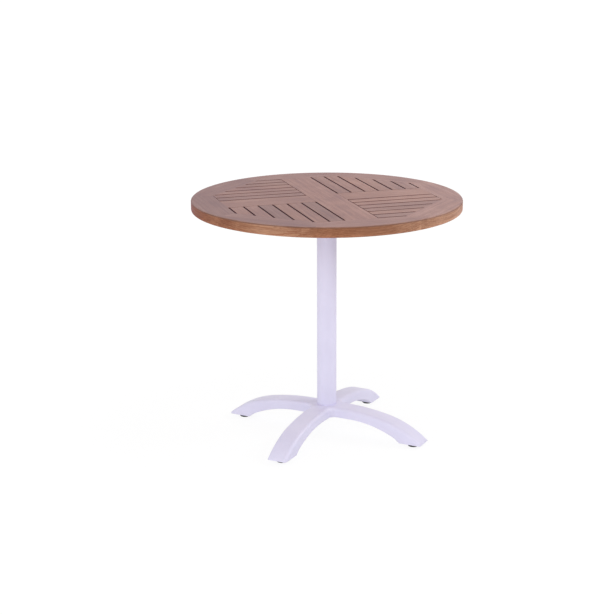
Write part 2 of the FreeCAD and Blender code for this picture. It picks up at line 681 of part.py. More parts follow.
def make_hinge():
    """Hinge bolt with an eye, its nut and the washers that are squeezed."""
    bar = rod_x("bolt_bar", "pin_radius", "-(lug_out + nut_thick + 3)", "cam_axis", "hinge_shift", "hinge_height")
    eye = rod("bolt_eye", "eye_radius", "cam_axis", "hinge_shift", "hinge_height - eye_thick / 2", "eye_thick")
    hole = rod("bolt_eye_hole", "cam_pin_radius + spigot_play", "cam_axis", "hinge_shift",
               "hinge_height - eye_thick", "2 * eye_thick")
    flats = fused("bolt_flats", [
        block("bolt_flat_low", "cam_face", "cam_axis + 20", "hinge_shift - 20", "hinge_shift + 20",
              "hinge_height - 20", "hinge_height - eye_thick / 2"),
        block("bolt_flat_high", "cam_face", "cam_axis + 20", "hinge_shift - 20", "hinge_shift + 20",
              "hinge_height + eye_thick / 2", "hinge_height + 20"),
        hole,
    ])
    node(cut("bolt_cut", fused("bolt_whole", [bar, eye]), flats), "hinge_bolt")
    hexagon = solid("Prism", "nut_hexagon", "-(lug_out + nut_thick)", "hinge_shift", "hinge_height",
                    (0, 1, 0), "90", Circumradius="nut_radius", Height="nut_thick")
    hexagon.Polygon = 6
    nut_hole = rod_x("nut_hole", "pin_radius + spigot_play", "-(lug_out + 2 * nut_thick)", "0",
                     "hinge_shift", "hinge_height")
    node(cut("nut_cut", hexagon, nut_hole), "hinge_nut")
    inner = "pin_radius + spigot_play"
    node(fused("disc_pair", [
        ring_x("disc_left", "disc_radius", inner, "-lug_in", "-head_half"),
        ring_x("disc_right", "disc_radius", inner, "head_half", "lug_in"),
    ]), "hinge_washers")
    node(ring_x("cam_disc", "disc_radius", inner, "lug_out", "cam_face"), "cam_washer")


def make_lever():
    """Clamp lever: two cam cheeks beside the bolt's eye, joined by a flat handle."""
    pieces = []
    for name, low in (("low", "hinge_height - cheek_out"), ("high", "hinge_height + cheek_in")):
        pieces.append(rod("cheek_" + name, "cam_radius", "cam_axis - cam_throw", "hinge_shift", low, "cam_cheek"))
        pieces.append(block("cheek_root_" + name, "cam_axis - cam_throw - cam_radius + 4",
                            "cam_axis - cam_throw - cam_radius + 4 + lever_width",
                            "hinge_shift - lever_start - 6", "hinge_shift",
                            low, "%s + cam_cheek" % low))
    body = body_named("lever_handle")
    plan = sketch_on(body, "XY_Plane", "lever_plan")
    left = "cam_axis - cam_throw - cam_radius + 4"
    right = left + " + lever_width"
    outline(plan, [
        (left, "hinge_shift - lever_start"), (left, "hinge_shift - lever_long + lever_width / 2", "lever_width * 0.6"),
        (right, "hinge_shift - lever_long + lever_width / 2"), (right, "hinge_shift - lever_start"),
    ])
    grown(body, "Pad", plan, "2 * cheek_out", middle=True)
    place(body, z="hinge_height")
    hole = rod("lever_hole", "cam_pin_radius + spigot_play", "cam_axis", "hinge_shift",
               "hinge_height - 2 * cheek_out", "4 * cheek_out")
    node(cut("lever_cut", fused("lever_whole", pieces + [body]), hole), "clamp_lever")
    node(rod("cam_pin_bar", "cam_pin_radius", "cam_axis", "hinge_shift", "hinge_height - cheek_out",
             "2 * cheek_out"), "cam_pin")


make_rim()
make_boards()
make_slats()
make_base()
make_feet()
make_column()
make_tie_rod()
make_head()
make_bracket()
make_hinge()
make_lever()
doc.recompute()

faults = [obj.Name for obj in doc.Objects if {"Invalid", "Error"} & set(obj.State)]
faults += [obj.Label for obj in nodes if obj.Shape.isNull() or not obj.Shape.isValid()]
if faults:
    raise RuntimeError("faulty objects: " + ", ".join(faults))
for obj in nodes:
    obj.Shape.exportStep("parts/%s.step" % obj.Label)
print(len(nodes), "sub-parts written")
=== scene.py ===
# %% [markdown]
# A folding bistro table: a round slatted teak top on a white powder-coated column and a cast cross
# base. The imported CAD model already holds every piece at its real size, so the job here is its looks:
# light, camera and a finish for each surface. We load the frame first.

# %% Load the frame
import math
import random
import bmesh
import bpy
from mathutils import Matrix, Vector


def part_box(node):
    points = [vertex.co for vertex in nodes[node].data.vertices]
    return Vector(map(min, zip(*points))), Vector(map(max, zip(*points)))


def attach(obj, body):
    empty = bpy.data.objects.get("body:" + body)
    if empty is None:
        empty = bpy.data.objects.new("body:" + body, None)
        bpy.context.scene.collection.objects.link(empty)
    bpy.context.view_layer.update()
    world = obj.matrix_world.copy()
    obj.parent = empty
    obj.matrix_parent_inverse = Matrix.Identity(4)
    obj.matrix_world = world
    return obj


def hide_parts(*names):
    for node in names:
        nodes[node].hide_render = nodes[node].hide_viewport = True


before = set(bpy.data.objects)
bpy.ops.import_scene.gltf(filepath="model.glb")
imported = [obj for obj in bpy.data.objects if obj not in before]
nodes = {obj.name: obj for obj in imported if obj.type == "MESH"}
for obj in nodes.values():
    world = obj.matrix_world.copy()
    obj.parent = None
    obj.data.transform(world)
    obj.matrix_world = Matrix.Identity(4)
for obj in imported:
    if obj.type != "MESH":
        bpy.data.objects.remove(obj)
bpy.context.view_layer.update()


scene = bpy.context.scene
scene.view_settings.view_transform = "Standard"

# %% [markdown]
# Colours are written as sRGB hex, the way a paint chart or a picture editor gives them. Blender
# mixes light in linear values, so one function turns a hex colour to linear, once and for all. Its
# numbers are those of the sRGB standard's own curve.

# %% Colour
def linear(hex_colour, gain=(1, 1, 1)):
    """A linear RGBA colour from sRGB hex, with a gain on each channel."""
    channels = [int(hex_colour[i:i + 2], 16) / 255 for i in (0, 2, 4)]
    curve = [c / 12.92 if c <= 0.04045 else ((c + 0.055) / 1.055) ** 2.4 for c in channels]
    return (*(g * c for g, c in zip(gain, curve)), 1.0)


print("mid grey 808080 is", round(linear("808080")[0], 3), "in linear light")

# %% [markdown]
# The camera stands where the picture was taken from: a little to the left of the table, about 1.6 m
# up and more than four metres away, with a long lens, so that the round top becomes a slim ellipse.
# Turning it by eye never gets the ellipse and the arms right at once, so its place was fitted to the
# outline of the top, the column and the four arm ends.

# %% Camera
IMAGE_WIDTH = 615      # pixels
FOCAL_LENGTH = 1500    # in the same pixels
SENSOR_WIDTH = 36      # millimetres
FAR_CLIP = 100         # metres, well beyond the floor's edge
STANDPOINT = (-1.3548, -4.1293, 1.6241)
VIEW_LINE = (0.28772, 0.9181, -0.2726)
PICTURE_RIGHT = (0.95393, -0.3, -0.00357)
camera_data = bpy.data.cameras.new("photo_camera")
camera = bpy.data.objects.new("photo_camera", camera_data)
scene.collection.objects.link(camera)
scene.camera = camera
camera_data.sensor_width = SENSOR_WIDTH
camera_data.lens = SENSOR_WIDTH * FOCAL_LENGTH / IMAGE_WIDTH
camera_data.clip_end = FAR_CLIP
forward = Vector(VIEW_LINE).normalized()
up = Vector(PICTURE_RIGHT).normalized().cross(forward).normalized()
right = forward.cross(up)
turned = Matrix((right, up, -forward)).transposed().to_4x4()
camera.matrix_world = Matrix.Translation(STANDPOINT) @ turned
print("lens %.1f mm" % camera_data.lens)

# %% [markdown]
# Light and finishes are all small trees of shader nodes. Adding a node always means the same three
# things: choose its settings, write its constant values, link its other inputs. One function does all
# three. An input is named by its label, or by its number where a node has several with that label.

# %% A node with its settings and links
READY_STOPS = 2    # a new colour ramp has two stops already


def node(tree, kind, inputs=None, stops=(), **settings):
    """Adds one shader node. A socket given as an input is linked, anything else is its value."""
    made = tree.nodes.new("ShaderNode" + kind)
    for name, value in settings.items():
        setattr(made, name, value)
    for name, value in (inputs or {}).items():
        if isinstance(value, bpy.types.NodeSocket):
            tree.links.new(value, made.inputs[name])
        else:
            made.inputs[name].default_value = value
    for i, (position, colour) in enumerate(stops):
        ramp = made.color_ramp.elements
        stop = ramp[i] if i < READY_STOPS else ramp.new(position)
        stop.position, stop.color = position, colour
    return made


kinds = [name for name in dir(bpy.types) if name.startswith("ShaderNode")]
print(len(kinds), "kinds of shader node to choose from")

# %% [markdown]
# The picture has a pure white ground. More light would make it white too, but it would bleach the
# table. White seen by the camera, by gloss and through glass is one thing, and the light that falls
# on the table is another, so the world shows white to those rays and gives a weaker, even sky light
# to the rest.

# %% World
SKY_LIGHT = 0.62
WHITE = linear("FFFFFF")


def shown(tree):
    """1 for the rays that show what they hit: from the camera, by gloss or through glass."""
    ray = node(tree, "LightPath").outputs
    straight = node(tree, "Math", {0: ray["Is Camera Ray"], 1: ray["Is Glossy Ray"]},
                    operation="MAXIMUM")
    return node(tree, "Math", {0: straight.outputs[0], 1: ray["Is Transmission Ray"]},
                operation="MAXIMUM").outputs[0]


world = bpy.data.worlds.new("white_studio")
scene.world = world
world.use_nodes = True
sky = world.node_tree
sky.nodes.clear()
strength = node(sky, "MapRange", {"Value": shown(sky), "To Min": SKY_LIGHT, "To Max": 1.0})
ground = node(sky, "Background", {"Color": WHITE, "Strength": strength.outputs[0]})
node(sky, "OutputWorld", {"Surface": ground.outputs[0]})
print("sky light", SKY_LIGHT)

# %% [markdown]
# The floor is a sheet of studio paper. A square plane would do, but a disc has no corner that could
# show, and it is so wide that its edge can't be told from the world. It belongs to the stage and not
# to the table, and we say so.

# %% Floor
FLOOR_RADIUS = 40    # metres
FLOOR_SIDES = 64
floor_mesh = bpy.data.meshes.new("floor")
bm = bmesh.new()
bmesh.ops.create_circle(bm, cap_ends=True, segments=FLOOR_SIDES, radius=FLOOR_RADIUS)
bm.to_mesh(floor_mesh)
bm.free()
floor = bpy.data.objects.new("floor", floor_mesh)
scene.collection.objects.link(floor)
print("floor disc", FLOOR_RADIUS, "m in radius")

# %% [markdown]
# Near the table the paper is a matt surface that takes the shadow, thinned with plain white so that
# the shadow stays faint. Further out it is white alone. From below it is see-through, so that the
# underside of the table can be viewed.

# %% Studio paper
PAPER_TONE = "F7F7F8"
SHADOW_SHARE = 0.12        # how much of the matt surface shows beside the table
SHADOW_FADE = (0.6, 1.6)   # metres from the column between which it goes
PAPER_GLOW = 1.035         # makes up for the matt share, so that the paper there is just white


def finish_named(name):
    """An empty material and its node tree."""
    material = bpy.data.materials.new(name)
    material.use_nodes = True
    material.node_tree.nodes.clear()
    return material, material.node_tree


paper, tree = finish_named("white_studio_paper")
away = node(tree, "VectorMath", {0: node(tree, "TexCoord").outputs["Object"]}, operation="LENGTH")
near = node(tree, "MapRange", {"Value": away.outputs["Value"], "From Min": SHADOW_FADE[0],
                               "From Max": SHADOW_FADE[1], "To Min": SHADOW_SHARE, "To Max": 0.0})
matt = node(tree, "BsdfDiffuse", {"Color": linear(PAPER_TONE)}).outputs[0]
white = node(tree, "Emission", {"Color": WHITE, "Strength": PAPER_GLOW}).outputs[0]
thinned = node(tree, "MixShader", {"Fac": near.outputs[0], 1: white, 2: matt}).outputs[0]
upper = node(tree, "MixShader", {"Fac": shown(tree), 1: matt, 2: thinned}).outputs[0]
below = node(tree, "NewGeometry").outputs["Backfacing"]
clear = node(tree, "BsdfTransparent").outputs[0]
both = node(tree, "MixShader", {"Fac": below, 1: upper, 2: clear})
node(tree, "OutputMaterial", {"Surface": both.outputs[0]})
floor_mesh.materials.append(paper)
print("paper with", len(tree.nodes), "nodes")

# %% [markdown]
# Four large softboxes light the table as in a catalogue studio; point lamps or a sun would give it
# hard shadows, which the picture doesn't have. The main one stands in front and to the left, a
# second one higher on the right shades the column just below the top, and two weak ones open the
# left and the back. An area lamp of P watts at d metres gives P / (pi d)^2 of full white on what
# faces it, which sets the watts.

# %% Softboxes
SOFTBOXES = {    # place, aim, size in metres, share of full white
    "front_softbox": ((-1.9, -2.7, 1.4), (0, 0, 0.4), 2.0, 0.29),
    "right_softbox": ((2.5, -0.7, 2.0), (0, 0, 0.3), 1.2, 0.26),
    "left_softbox": ((-2.5, 0.3, 1.4), (0, 0, 0.3), 1.4, 0.06),
    "back_softbox": ((1.7, 1.9, 1.3), (0.1, 0, 0.6), 1.4, 0.04),
}
for name, (place, aim, size, share) in SOFTBOXES.items():
    lamp = bpy.data.lights.new(name, "AREA")
    lamp.shape, lamp.size = "SQUARE", size
    reach = Vector(aim) - Vector(place)
    lamp.energy = share * (math.pi * reach.length) ** 2
    stand = bpy.data.objects.new(name, lamp)
    facing = reach.to_track_quat("-Z", "Y").to_matrix().to_4x4()
    stand.matrix_world = Matrix.Translation(place) @ facing
    stand.visible_camera = False
    scene.collection.objects.link(stand)
    print(name, "%.0f W at %.1f m" % (lamp.energy, reach.length))

# %% [markdown]
# The top is oiled teak. What the eye reads as teak is the warm brown, growth rings that become long
# bands where a stick is sawn along the trunk, and short dark pores between them. Bands painted on the
# face would stop at its edge. A Wave texture of rings round the stick's own length, with its centre
# (the pith of the tree) below the stick, gives them on the face and on the sides at once, as sawing
# does.

# %% Grain of teak
RING = 0.0055          # growth rings 5 to 6 mm apart
WAVE_REPEAT = math.pi / 10    # metres between two waves of a Wave texture with a scale of 1
STREAK = 0.007         # soft streaks of darker oil, a little wider than a ring
FIBRE = 0.0022         # bundles of fibres, seen as fine lines between the rings
PORE = 0.0012          # pores are 0.3 mm wide; drawn four times coarser, so that they show at all
DRIFT = 0.11           # the colour of one stick drifts over a hand's width
GRAIN_STRETCH = 28     # rings, streaks and fibres are this many times longer along a stick
PORE_STRETCH = 11      # and a pore, cut at a slant, is a short dash
STREAK_SHARE = 0.85    # how far the streaks cover the rings,
DRIFT_SHARE = 0.40     # the drift both of them,
FIBRE_SHARE = 0.30     # and the fibres all three
PITH_ASIDE = 0.03      # the pith lies at most this far beside a stick
PITH_BELOW = (0.05, 0.11)    # and this far below it
dice = random.Random(11)


def sawn_grain(tree, piece, turn):
    """The grain of a stick at this turn: places on it, places along its fibres, figure and pores."""
    low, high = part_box(piece)
    across = Vector((-math.sin(turn), math.cos(turn), 0)) * dice.uniform(-PITH_ASIDE, PITH_ASIDE)
    pith = (low + high) / 2 + across - Vector((0, 0, dice.uniform(*PITH_BELOW)))
    place = node(tree, "TexCoord").outputs["Object"]
    fibre = node(tree, "Mapping", {"Vector": place, "Location": pith, "Rotation": (0, 0, turn),
                                   "Scale": (GRAIN_STRETCH, 1, 1)}, vector_type="TEXTURE").outputs[0]
    rings = node(tree, "TexWave", {"Vector": fibre, "Scale": WAVE_REPEAT / RING, "Distortion": 6.0,
                                   "Detail": 2.0, "Detail Scale": 0.35, "Detail Roughness": 0.6},
                 wave_type="RINGS", rings_direction="X", wave_profile="SIN")
    streaks = node(tree, "TexNoise", {"Vector": fibre, "Scale": 1 / STREAK, "Detail": 3.0,
                                      "Roughness": 0.6})
    drift = node(tree, "TexNoise", {"Vector": place, "Scale": 1 / DRIFT, "Detail": 1.0})
    fibres = node(tree, "TexNoise", {"Vector": fibre, "Scale": 1 / FIBRE, "Detail": 2.0,
                                     "Roughness": 0.7})
    figure = rings.outputs["Fac"]
    for share, over in ((STREAK_SHARE, streaks), (DRIFT_SHARE, drift), (FIBRE_SHARE, fibres)):
        figure = node(tree, "Mix", {"Factor": share, "A": figure,
                                    "B": over.outputs["Fac"]}).outputs["Result"]
    dashes = node(tree, "VectorMath", {0: fibre, 1: (GRAIN_STRETCH / PORE_STRETCH, 1, 1)},
                  operation="MULTIPLY")
    pores = node(tree, "TexNoise", {"Vector": dashes.outputs[0], "Scale": 1 / PORE, "Detail": 1.0})
    return place, fibre, figure, pores.outputs["Fac"]


print("rings %.1f mm apart, %d times longer along a stick" % (1000 * RING, GRAIN_STRETCH))

# %% [markdown]
# On a real stick the face, the sides and the walls of the slits don't look alike. A material for each
# of them would mean changing the CAD mesh, which stays as it is. But Object coordinates are places on
# the real table, in metres: what lies highest is the face, and a side that lies further in than the
# rim's outer one is a wall towards a neighbour. So heights and radii tell the zones apart.

# %% Zones of a stick
ROUND = (0.7262, 0.7294)     # heights between which the rounded rim turns from side to face
ARRIS = (0.72985, 0.7300)    # the same for the sharper edges beside slits and joints
SLIT = (0.7125, 0.7175)      # heights between which a wall goes up into the slit or joint beside it
INSIDE = (0.36, 0.38)        # radii between which the rim goes from its inner wall to its outer side
DUST_AND_SHADE_SHARE = 0.95                  # how far dust, old oil and painted shade darken those walls


def zones(tree, place):
    """Height of a place, and how far it belongs to the face and to the wall of a slit or joint."""
    height = node(tree, "SeparateXYZ", {"Vector": place}).outputs["Z"]
    flat = node(tree, "VectorMath", {0: place, 1: (1, 1, 0)}, operation="MULTIPLY")
    away = node(tree, "VectorMath", {0: flat.outputs[0]}, operation="LENGTH")
    inner = node(tree, "MapRange", {"Value": away.outputs["Value"], "From Min": INSIDE[0],
                                    "From Max": INSIDE[1], "To Min": 1.0, "To Max": 0.0}).outputs[0]
    # Every edge is sharp but the rim's outer one, which is rounded.
    edge_from, edge_to = (
        node(tree, "Mix", {"Factor": inner, "A": rounded, "B": sharp}).outputs["Result"]
        for rounded, sharp in zip(ROUND, ARRIS))
    face = node(tree, "MapRange", {"Value": height, "From Min": edge_from, "From Max": edge_to})
    # Painted shade, with dust and old oil: the upper walls of slits and joints are darkened, as deep
    # slits are dark.
    sunk = node(tree, "MapRange", {"Value": height, "From Min": SLIT[0], "From Max": SLIT[1],
                                   "To Max": DUST_AND_SHADE_SHARE})
    wall = node(tree, "Math", {0: sunk.outputs[0], 1: inner}, operation="MULTIPLY")
    return height, face.outputs[0], wall.outputs[0]


print("face above %.1f mm, slits above %.1f mm" % (1000 * ARRIS[0], 1000 * SLIT[0]))

# %% [markdown]
# The sides show the wood as it was sawn. Near the bark a trunk is pale sapwood, and towards its
# middle dark red heartwood, so the colour goes up and down along a stick, and a ramp along its length
# says how. The lower edge is painted paler, standing in for light bounced up from the white floor.

# %% Sides of a stick
FIGURE_STOPS = (0.39, 0.50, 0.61)    # where in the figure the dark, middle and pale tone lie
SIDE_TONES = ("955F3C", "AC7A53", "C08C63")
SAP = (1.03, 1.14, 1.52)      # gain on these tones where a stick was cut near the bark
HEART = (0.57, 0.43, 0.40)    # and where it was cut near the middle of the trunk
PAINTED_BOUNCE_HEIGHTS = (0.700, 0.713)          # heights over which the painted bounce fades out
PAINTED_BOUNCE_GAIN = 1.28               # how much paler the painted bounce makes the lowest edge
MIX_A, MIX_B, MIX_RESULT = 6, 7, 2    # sockets of a Mix node that mixes colours


def sawn_side(tree, fibre, figure, height, length, hearts):
    """The colour of a stick's sides; hearts are (place along the stick, share of heartwood)."""
    lines = node(tree, "ValToRGB", {"Fac": figure}, stops=[
        (at, linear(tone)) for at, tone in zip(FIGURE_STOPS, SIDE_TONES)])
    reach = length / 2 / GRAIN_STRETCH
    way = node(tree, "SeparateXYZ", {"Vector": fibre}).outputs["X"]
    along = node(tree, "MapRange", {"Value": way, "From Min": -reach, "From Max": reach})
    trunk = node(tree, "ValToRGB", {"Fac": along.outputs[0]}, stops=[
        (at, (*(s + (h - s) * share for s, h in zip(SAP, HEART)), 1)) for at, share in hearts])
    # Painted light: the lower edge is made paler, standing in for light bounced up from the white
    # floor.
    painted_bounce = node(tree, "MapRange", {"Value": height, "From Min": PAINTED_BOUNCE_HEIGHTS[0], "From Max": PAINTED_BOUNCE_HEIGHTS[1],
                                  "To Min": PAINTED_BOUNCE_GAIN, "To Max": 1.0})
    colour = lines.outputs["Color"]
    for gain in (trunk.outputs["Color"], painted_bounce.outputs[0]):
        colour = node(tree, "Mix", {"Factor": 1.0, MIX_A: colour, MIX_B: gain}, data_type="RGBA",
                      blend_type="MULTIPLY").outputs[MIX_RESULT]
    return colour


print("side tones", ", ".join(SIDE_TONES), "from dark to pale")

# %% [markdown]
# The face is greyer than the sides from sun and wiping, and wiping has polished it too, so it has a
# satin gloss and, at a low angle, a faint haze, where the sides are as dull as the plane left them.
# The walls of the slits are dark from dust and old oil and from painted shade, and a dark line runs
# along the arris between side and face. The pores are dark and a little sunk. Each of these lies over
# the one before, so the colours are mixed in a row.

# %% Oiled teak
FACE_TONES = ("8D6355", "9D705B", "AC7F6C")
# The tone of the walls is dust and old oil and painted shade; the arris tone makes a dark line along
# the edge.
DUST_AND_SHADE_TONE, ARRIS_TONE, PORE_TONE = "45170E", "4E2C20", "6B4636"
EDGE_MIDDLE = 0.5               # the arris is darkest where a place is half face and half side
ARRIS_DARKENING = 0.65                     # how far the dark arris hides the wood
OPEN_PORE = (0.57, 0.66)        # range of the pore noise from whole wood to an open pore
PORE_SHARE = 0.42               # how far a pore hides the wood
PORE_SINK = 0.0003              # metres
PORE_RELIEF = 0.2               # the oil fills most of that
FACE_ROUGHNESS = (0.58, 0.46)   # in the dark and in the pale lines of the figure
SIDE_ROUGHNESS = 0.92
OIL_IOR = 1.5
HAZE = {"Sheen Weight": 0.12, "Sheen Roughness": 0.4, "Sheen Tint": linear("C8B6FF")}


def teak(piece, turn, length, hearts, face_gain):
    """Oiled teak for one stick; hearts are (place along the stick, share of heartwood)."""
    material, tree = finish_named("oiled_teak_" + piece)
    place, fibre, figure, pores = sawn_grain(tree, piece, turn)
    height, face, wall = zones(tree, place)
    face_lines = node(tree, "ValToRGB", {"Fac": figure}, stops=[
        (at, linear(tone, face_gain)) for at, tone in zip(FIGURE_STOPS, FACE_TONES)])
    edge = node(tree, "Math", {0: face, 1: EDGE_MIDDLE}, operation="PINGPONG")
    # A dark line is drawn along the arris, darkest halfway from side to face.
    dark_arris = node(tree, "MapRange", {"Value": edge.outputs[0], "From Max": EDGE_MIDDLE, "To Max": ARRIS_DARKENING})
    pore = node(tree, "MapRange", {"Value": pores, "From Min": OPEN_PORE[0],
                                   "From Max": OPEN_PORE[1], "To Max": PORE_SHARE})
    colour = sawn_side(tree, fibre, figure, height, length, hearts)
    for share, over in ((wall, linear(DUST_AND_SHADE_TONE)), (face, face_lines.outputs["Color"]),
                        (dark_arris.outputs[0], linear(ARRIS_TONE)), (pore.outputs[0], linear(PORE_TONE))):
        colour = node(tree, "Mix", {"Factor": share, MIX_A: colour, MIX_B: over},
                      data_type="RGBA").outputs[MIX_RESULT]
    satin = node(tree, "MapRange", {"Value": figure, "To Min": FACE_ROUGHNESS[0],
                                    "To Max": FACE_ROUGHNESS[1]})
    planed = node(tree, "Mix", {"Factor": face, "A": SIDE_ROUGHNESS, "B": satin.outputs[0]})
    dusty = node(tree, "Math", {0: wall, 1: face}, operation="SUBTRACT", use_clamp=True)
    rough = node(tree, "Math", {0: planed.outputs["Result"], 1: dusty.outputs[0]},
                 operation="MAXIMUM")
    relief = node(tree, "Bump", {"Height": pore.outputs[0], "Strength": PORE_RELIEF,
                                 "Distance": PORE_SINK}, invert=True)
    shader = node(tree, "BsdfPrincipled", {"Base Color": colour, "Roughness": rough.outputs[0],
                                           "Normal": relief.outputs[0], "IOR": OIL_IOR, **HAZE})
    node(tree, "OutputMaterial", {"Surface": shader.outputs[0]})
    return material


print("face tones", ", ".join(FACE_TONES), "from dark to pale")

# %% [markdown]
# Each board, slat and rim segment is a separate stick, cut from another part of the tree. One
# material for all would run the same bands through all of them. So each gets its own teak: the grain
# is turned along its length, the pith lies somewhere else, and the tone goes a little up or down.
# That is what makes a wooden top look joined and not printed.

# %% Boards and slats
ALONG_X, ALONG_Y = 0.0, math.pi / 2
# The sticks on the left are darker on the whole: partly painted shade, as less light falls on the left
# of the top, and partly their own tone.
BOARDS = {"centre_board": (ALONG_Y, 1.01), "cross_board_right": (ALONG_X, 0.98),
          "cross_board_left": (ALONG_X, 0.93)}    # direction and tone
QUARTERS = {"back_right": (ALONG_Y, 0.88), "back_left": (ALONG_X, 0.925),
            "front_left": (ALONG_Y, 0.82), "front_right": (ALONG_X, 0.985)}
SLATS = range(1, 7)
SLAT_SPREAD = (0.84, 1.16)    # slats of one quarter differ in tone
WARMTH = (0.03, 0.13)         # sticks differ in how far red is raised and blue lowered
END_HEARTS = (0.0, 0.5)       # share of heartwood at the ends of a stick


def dress(names, material):
    """Gives one finish to CAD nodes, in the slot that the frame made for them."""
    for name in names:
        nodes[name].data.materials[0] = material
    print(material.name, "on", ", ".join(names))


sticks = dict(BOARDS)
for quarter, (turn, tone) in QUARTERS.items():
    for k in SLATS:
        sticks["slat_%s_%d" % (quarter, k)] = (turn, tone * dice.uniform(*SLAT_SPREAD))
for piece, (turn, tone) in sticks.items():
    warm = dice.uniform(*WARMTH)
    low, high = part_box(piece)
    ends = [(at, dice.uniform(*END_HEARTS)) for at in (0.0, 1.0)]
    gain = (tone * (1 + warm / 2), tone, tone * (1 - warm))
    dress([piece], teak(piece, turn, max(high - low), ends, gain))

# %% [markdown]
# The eight rim segments show their outer side to the room, so the drift from sapwood to heartwood
# along each of them counts most. In the picture the side is dark and orange at the far left, pale
# just left of the column, dark and red right of it, and pale again at the right end. The dark far
# left and the pale right end are partly painted light, as less light falls on the left and more on
# the right. Shares of heartwood below 0 and above 1 go on past the two tones.

# %% Rim
RIM_RADIUS = 0.4
SEGMENT = math.radians(45)    # eight segments go once round
RIM_CHORD = 2 * RIM_RADIUS * math.sin(SEGMENT / 2)
PLAIN_STICK = ((0.0, 0.25), (1.0, 0.15))    # the segments at the back
RIM_HEARTS = {5: ((0.0, 0.75), (0.45, 1.05), (0.75, 1.05), (1.0, 0.80)),
              6: ((0.0, 0.86), (0.18, 0.73), (0.5, 0.28), (0.78, 0.04), (1.0, 0.82)),
              7: ((0.0, 0.80), (0.2, 0.88), (0.7, 0.67), (0.87, 0.36), (1.0, -0.3)),
              8: ((0.0, 0.36), (0.35, 0.1), (1.0, -0.45))}
# The faces of the segments carry painted light: darker to the left and lighter to the right, as the
# light falls across the top.
FACE_LIGHTS = {1: 1.05, 2: 1.01, 3: 0.95, 4: 0.83, 5: 0.76, 6: 0.84, 7: 0.96, 8: 1.05}
for k, light in FACE_LIGHTS.items():
    piece = "rim_segment_%d" % k
    turn = SEGMENT * (k - 1) + math.pi / 2
    hearts = RIM_HEARTS.get(k, PLAIN_STICK)
    dress([piece], teak(piece, turn, RIM_CHORD, hearts, (light, light, light)))

# %% [markdown]
# Column and base are sprayed with white powder and baked. The coat is smooth but never mirror flat:
# it has a faint orange peel, which we see as a soft, slightly broken highlight. It also runs round
# every edge, so that none is sharp. A Bevel modifier would change the CAD mesh, so a Bevel node bends
# the shading there by a millimetre or two. In this light the white has a touch of lavender.

# %% White powder coat
PEEL = 0.004          # orange peel is about 1 mm; drawn coarser, so that it shows
PEEL_HEIGHT = 0.0004
CLOUD = 0.09          # the coat's thickness drifts over a hand's width
CLOUD_STOPS = (0.3, 0.7)    # most of a noise lies between these
COAT_TONES = ("E0DDF5", "E6E3FA")
COAT_ROUGHNESS = (0.34, 0.46)
COAT_IOR = 1.5
COAT_EDGE = 0.0015    # edges under the coat are rounded by about 1.5 mm
EDGE_SAMPLES = 6      # more would be smoother and slower
TUBE_PEEL, CASTING_PEEL = 0.10, 0.20    # a casting is rougher under the coat than a tube


def powder_coat(name, peel_strength):
    """Baked white powder: a cool white, satin, with orange peel of this strength."""
    material, tree = finish_named(name)
    place = node(tree, "TexCoord").outputs["Object"]
    peel = node(tree, "TexNoise", {"Vector": place, "Scale": 1 / PEEL, "Detail": 2.0}).outputs["Fac"]
    cloud = node(tree, "TexNoise", {"Vector": place, "Scale": 1 / CLOUD, "Detail": 3.0})
    colour = node(tree, "ValToRGB", {"Fac": cloud.outputs["Fac"]}, stops=[
        (at, linear(tone)) for at, tone in zip(CLOUD_STOPS, COAT_TONES)])
    rough = node(tree, "MapRange", {"Value": peel, "To Min": COAT_ROUGHNESS[0],
                                    "To Max": COAT_ROUGHNESS[1]})
    edge = node(tree, "Bevel", {"Radius": COAT_EDGE}, samples=EDGE_SAMPLES)
    relief = node(tree, "Bump", {"Height": peel, "Strength": peel_strength, "Distance": PEEL_HEIGHT,
                                 "Normal": edge.outputs[0]})
    shader = node(tree, "BsdfPrincipled", {
        "Base Color": colour.outputs["Color"], "Roughness": rough.outputs[0],
        "Normal": relief.outputs[0], "IOR": COAT_IOR})
    node(tree, "OutputMaterial", {"Surface": shader.outputs[0]})
    return material


dress(["column_tube"], powder_coat("white_powder_coat_on_tube", TUBE_PEEL))
dress(["base_casting", "column_head", "top_bracket"],
      powder_coat("white_powder_coat_on_casting", CASTING_PEEL))

# %% [markdown]
# The fasteners are zinc-plated steel. Fresh zinc is a bluish grey metal with a cloudy shine, because
# the plating bath leaves tiny crystals. With one grey and one roughness it would look like chrome, so
# a noise drives both. A metal keeps the default IOR and takes its colour from the base colour alone.

# %% Zinc-plated steel
CRYSTAL = 0.0016    # zinc crystals are far finer; drawn at 1.6 mm as soft clouds
ZINC_TONES = ("A7ABB2", "C3C6CB")
ZINC_ROUGHNESS = (0.25, 0.45)
zinc, tree = finish_named("zinc_plated_steel")
place = node(tree, "TexCoord").outputs["Object"]
cloud = node(tree, "TexNoise", {"Vector": place, "Scale": 1 / CRYSTAL, "Detail": 3.0}).outputs["Fac"]
colour = node(tree, "ValToRGB", {"Fac": cloud}, stops=[
    (at, linear(tone)) for at, tone in zip(CLOUD_STOPS, ZINC_TONES)])
rough = node(tree, "MapRange", {"Value": cloud, "To Min": ZINC_ROUGHNESS[0],
                                "To Max": ZINC_ROUGHNESS[1]})
shader = node(tree, "BsdfPrincipled", {"Base Color": colour.outputs["Color"],
                                       "Roughness": rough.outputs[0], "Metallic": 1.0})
node(tree, "OutputMaterial", {"Surface": shader.outputs[0]})
dress(["tie_nut", "tie_washer", "hinge_bolt", "hinge_nut", "hinge_washers", "cam_washer", "cam_pin"],
      zinc)

# %% [markdown]
# Eight countersunk screws hold the bracket to the boards. In the CAD model their heads are plain
# discs; a real one has a cross recess for the driver. A Boolean could cut it, but it needs a second
# shape and leaves slivers. So we start from a disc, cut it along the edges of the cross, and push the
# faces inside the cross into the head.

